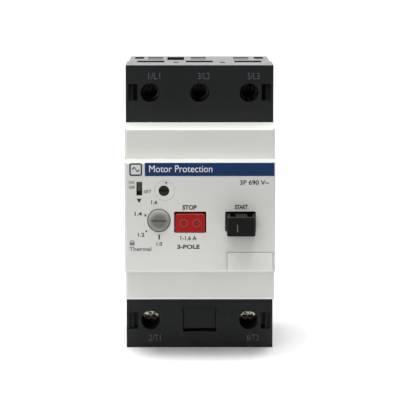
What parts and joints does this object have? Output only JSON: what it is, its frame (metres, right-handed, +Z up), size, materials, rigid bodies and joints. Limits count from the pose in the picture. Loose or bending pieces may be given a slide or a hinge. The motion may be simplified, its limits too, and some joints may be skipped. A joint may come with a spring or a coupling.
{
  "type": "motor protection circuit breaker",
  "caption": "Rail-mounted motor protection circuit breaker with start and stop keys, current setting dial, screw clamp terminals and a black and light grey stepped housing.",
  "frame": {"origin": "centre of the back plane, on the centre line of the mounting rail", "axes": "+X to the right seen from the front, -Y out of the front towards the user, +Z up towards the line terminals"},
  "size_m": [0.062, 0.105, 0.12],
  "materials": {
    "rear_base": "fine textured black moulding",
    "terminal_housing": "fine textured black moulding",
    "front_cover": "satin light grey moulding",
    "control_fascia": "satin light grey moulding",
    "name_band": "printed dark blue film",
    "housing_screws": "zinc plated",
    "line_conductors": "plated copper alloy",
    "coil_strips": "copper alloy",
    "load_conductors": "plated copper alloy",
    "fixed_contact_tips": "silver alloy",
    "arc_plates": "zinc plated sheet",
    "arc_cheeks": "vulcanised fibre",
    "magnet_yokes": "plated steel",
    "magnet_cores": "turned steel",
    "trip_coils": "enamelled copper wire",
    "bimetal_strips": "bimetal sheet",
    "heater_windings": "resistance wire",
    "trip_shaft": "ground steel",
    "pawl_pin": "ground steel",
    "mechanism_plate": "zinc plated sheet",
    "rocker_pin": "ground steel",
    "opening_springs": "spring steel",
    "test_spring": "spring steel",
    "latch_spring": "spring steel",
    "start_button": "satin black moulding",
    "stop_button": "satin red moulding",
    "rocker_lever": "moulded nylon",
    "contact_carrier": "glass filled thermoset",
    "contact_springs": "spring steel",
    "contact_bridges": "copper",
    "bridge_contact_tips": "silver alloy",
    "test_button": "dark moulding",
    "trip_bar": "moulded nylon",
    "latch_pawl": "hardened steel",
    "setting_dial": "matt grey moulding",
    "setting_bar": "moulded nylon",
    "mode_slider": "dark moulding",
    "marker_flap": "satin light grey moulding",
    "rail_latch": "black moulding",
    "terminal_blank": "fine textured black moulding",
    "trip_plunger": "turned steel",
    "terminal_screw": "zinc plated steel",
    "terminal_clamp": "zinc plated steel"
  },
  "bodies": {
    "housing": {"rear_base": "rear_base", "terminal_housing": "terminal_housing", "front_cover": "front_cover", "control_fascia": "control_fascia", "name_band": "name_band", "housing_screws": "housing_screws", "line_conductors": "line_conductors", "coil_strips": "coil_strips", "load_conductors": "load_conductors", "fixed_contact_tips": "fixed_contact_tips", "arc_plates": "arc_plates", "arc_cheeks": "arc_cheeks", "magnet_yokes": "magnet_yokes", "magnet_cores": "magnet_cores", "trip_coils": "trip_coils", "bimetal_strips": "bimetal_strips", "heater_windings": "heater_windings", "trip_shaft": "trip_shaft", "pawl_pin": "pawl_pin", "mechanism_plate": "mechanism_plate", "rocker_pin": "rocker_pin", "opening_springs": "opening_springs", "test_spring": "test_spring", "latch_spring": "latch_spring"},
    "start_key": {"start_button": "start_button"},
    "stop_key": {"stop_button": "stop_button"},
    "rocker": {"rocker_lever": "rocker_lever"},
    "carrier": {"contact_carrier": "contact_carrier", "contact_springs": "contact_springs"},
    "bridges": {"contact_bridges": "contact_bridges", "bridge_contact_tips": "bridge_contact_tips"},
    "test_key": {"test_button": "test_button"},
    "trip": {"trip_bar": "trip_bar"},
    "pawl": {"latch_pawl": "latch_pawl"},
    "dial": {"setting_dial": "setting_dial"},
    "setting": {"setting_bar": "setting_bar"},
    "slider": {"mode_slider": "mode_slider"},
    "flap": {"marker_flap": "marker_flap"},
    "latch": {"rail_latch": "rail_latch"},
    "blank": {"terminal_blank": "terminal_blank"},
    "plunger_left": {"trip_plunger_left": "trip_plunger"},
    "plunger_middle": {"trip_plunger_middle": "trip_plunger"},
    "plunger_right": {"trip_plunger_right": "trip_plunger"},
    "line_screw_left": {"line_screw_left": "terminal_screw"},
    "line_clamp_left": {"line_clamp_left": "terminal_clamp"},
    "line_screw_middle": {"line_screw_middle": "terminal_screw"},
    "line_clamp_middle": {"line_clamp_middle": "terminal_clamp"},
    "line_screw_right": {"line_screw_right": "terminal_screw"},
    "line_clamp_right": {"line_clamp_right": "terminal_clamp"},
    "load_screw_left": {"load_screw_left": "terminal_screw"},
    "load_clamp_left": {"load_clamp_left": "terminal_clamp"},
    "load_screw_middle": {"load_screw_middle": "terminal_screw"},
    "load_clamp_middle": {"load_clamp_middle": "terminal_clamp"},
    "load_screw_right": {"load_screw_right": "terminal_screw"},
    "load_clamp_right": {"load_clamp_right": "terminal_clamp"}
  },
  "joints": [
    {"name": "start_press", "type": "slide", "parent": "housing", "child": "start_key", "axis": [0, 1, 0], "range_m": [0, 0.005]},
    {"name": "stop_rise", "type": "slide", "parent": "housing", "child": "stop_key", "axis": [0, -1, 0], "range_m": [0, 0.005]},
    {"name": "rocker_swing", "type": "hinge", "parent": "housing", "child": "rocker", "pos_m": [0.0062, -0.066, -0.0015], "axis": [0, 0, 1], "range_deg": [0, 28.1]},
    {"name": "carrier_slide", "type": "slide", "parent": "housing", "child": "carrier", "axis": [0, 1, 0], "range_m": [0, 0.005], "deforming": ["opening_springs", "contact_springs"]},
    {"name": "bridge_slide", "type": "slide", "parent": "housing", "child": "bridges", "axis": [0, 1, 0], "range_m": [0, 0.0043]},
    {"name": "test_press", "type": "slide", "parent": "housing", "child": "test_key", "axis": [0, 1, 0], "range_m": [0, 0.002], "stiffness_N_per_m": 600, "deforming": ["test_spring"]},
    {"name": "trip_tilt", "type": "hinge", "parent": "housing", "child": "trip", "pos_m": [0, -0.042, -0.02], "axis": [-1, 0, 0], "range_deg": [0, 3.7]},
    {"name": "pawl_lift", "type": "hinge", "parent": "housing", "child": "pawl", "pos_m": [-0.007, -0.049, 0.022], "axis": [1, 0, 0], "range_deg": [0, 8.1]},
    {"name": "dial_turn", "type": "hinge", "parent": "housing", "child": "dial", "pos_m": [-0.0167, -0.09, -0.0007], "axis": [0, 1, 0], "range_deg": [-83, 83]},
    {"name": "setting_slide", "type": "slide", "parent": "housing", "child": "setting", "axis": [0, 0, 1], "range_m": [-0.00149, 0.00149]},
    {"name": "slider_shift", "type": "slide", "parent": "housing", "child": "slider", "axis": [0, 0, -1], "range_m": [0, 0.002]},
    {"name": "flap_open", "type": "hinge", "parent": "housing", "child": "flap", "pos_m": [0.0204, -0.09505, -0.021], "axis": [1, 0, 0], "range_deg": [0, 95]},
    {"name": "latch_pull", "type": "slide", "parent": "housing", "child": "latch", "axis": [0, 0, -1], "range_m": [0, 0.0027], "stiffness_N_per_m": 2000, "deforming": ["latch_spring"]},
    {"name": "blank_pull", "type": "slide", "parent": "housing", "child": "blank", "axis": [0, -1, 0], "range_m": [0, 0.007]},
    {"name": "plunger_push_left", "type": "slide", "parent": "housing", "child": "plunger_left", "axis": [0, -1, 0], "range_m": [0, 0.0022], "stiffness_N_per_m": 300},
    {"name": "plunger_push_middle", "type": "slide", "parent": "housing", "child": "plunger_middle", "axis": [0, -1, 0], "range_m": [0, 0.0022], "stiffness_N_per_m": 300},
    {"name": "plunger_push_right", "type": "slide", "parent": "housing", "child": "plunger_right", "axis": [0, -1, 0], "range_m": [0, 0.0022], "stiffness_N_per_m": 300},
    {"name": "line_screw_turn_left", "type": "hinge", "parent": "housing", "child": "line_screw_left", "pos_m": [-0.0208, -0.045, 0.0484], "axis": [0, 1, 0], "range_deg": [0, 1620]},
    {"name": "line_clamp_rise_left", "type": "slide", "parent": "housing", "child": "line_clamp_left", "axis": [0, -1, 0], "range_m": [0, 0.00315]},
    {"name": "line_screw_turn_middle", "type": "hinge", "parent": "housing", "child": "line_screw_middle", "pos_m": [0, -0.045, 0.0484], "axis": [0, 1, 0], "range_deg": [0, 1620]},
    {"name": "line_clamp_rise_middle", "type": "slide", "parent": "housing", "child": "line_clamp_middle", "axis": [0, -1, 0], "range_m": [0, 0.00315]},
    {"name": "line_screw_turn_right", "type": "hinge", "parent": "housing", "child": "line_screw_right", "pos_m": [0.0208, -0.045, 0.0484], "axis": [0, 1, 0], "range_deg": [0, 1620]},
    {"name": "line_clamp_rise_right", "type": "slide", "parent": "housing", "child": "line_clamp_right", "axis": [0, -1, 0], "range_m": [0, 0.00315]},
    {"name": "load_screw_turn_left", "type": "hinge", "parent": "housing", "child": "load_screw_left", "pos_m": [-0.0208, -0.045, -0.0484], "axis": [0, 1, 0], "range_deg": [0, 1620]},
    {"name": "load_clamp_rise_left", "type": "slide", "parent": "housing", "child": "load_clamp_left", "axis": [0, -1, 0], "range_m": [0, 0.00315]},
    {"name": "load_screw_turn_middle", "type": "hinge", "parent": "housing", "child": "load_screw_middle", "pos_m": [0, -0.045, -0.0484], "axis": [0, 1, 0], "range_deg": [0, 1620]},
    {"name": "load_clamp_rise_middle", "type": "slide", "parent": "housing", "child": "load_clamp_middle", "axis": [0, -1, 0], "range_m": [0, 0.00315]},
    {"name": "load_screw_turn_right", "type": "hinge", "parent": "housing", "child": "load_screw_right", "pos_m": [0.0208, -0.045, -0.0484], "axis": [0, 1, 0], "range_deg": [0, 1620]},
    {"name": "load_clamp_rise_right", "type": "slide", "parent": "housing", "child": "load_clamp_right", "axis": [0, -1, 0], "range_m": [0, 0.00315]}
  ],
  "couplings": [
    {"joint": "stop_rise", "follows": "start_press", "ratio": 1},
    {"joint": "rocker_swing", "follows": "start_press", "rad_per_m": 97.738},
    {"joint": "carrier_slide", "follows": "start_press", "ratio": 1},
    {"joint": "bridge_slide", "follows": "start_press", "ratio": 0.85},
    {"joint": "trip_tilt", "follows": "test_press", "rad_per_m": 31.847},
    {"joint": "pawl_lift", "follows": "test_press", "rad_per_m": 69.813},
    {"joint": "dial_turn", "follows": "setting_slide", "rad_per_m": 973},
    {"joint": "line_screw_turn_left", "follows": "line_clamp_rise_left", "rad_per_m": 8976},
    {"joint": "line_screw_turn_middle", "follows": "line_clamp_rise_middle", "rad_per_m": 8976},
    {"joint": "line_screw_turn_right", "follows": "line_clamp_rise_right", "rad_per_m": 8976},
    {"joint": "load_screw_turn_left", "follows": "load_clamp_rise_left", "rad_per_m": 8976},
    {"joint": "load_screw_turn_middle", "follows": "load_clamp_rise_middle", "rad_per_m": 8976},
    {"joint": "load_screw_turn_right", "follows": "load_clamp_rise_right", "rad_per_m": 8976}
  ]
}
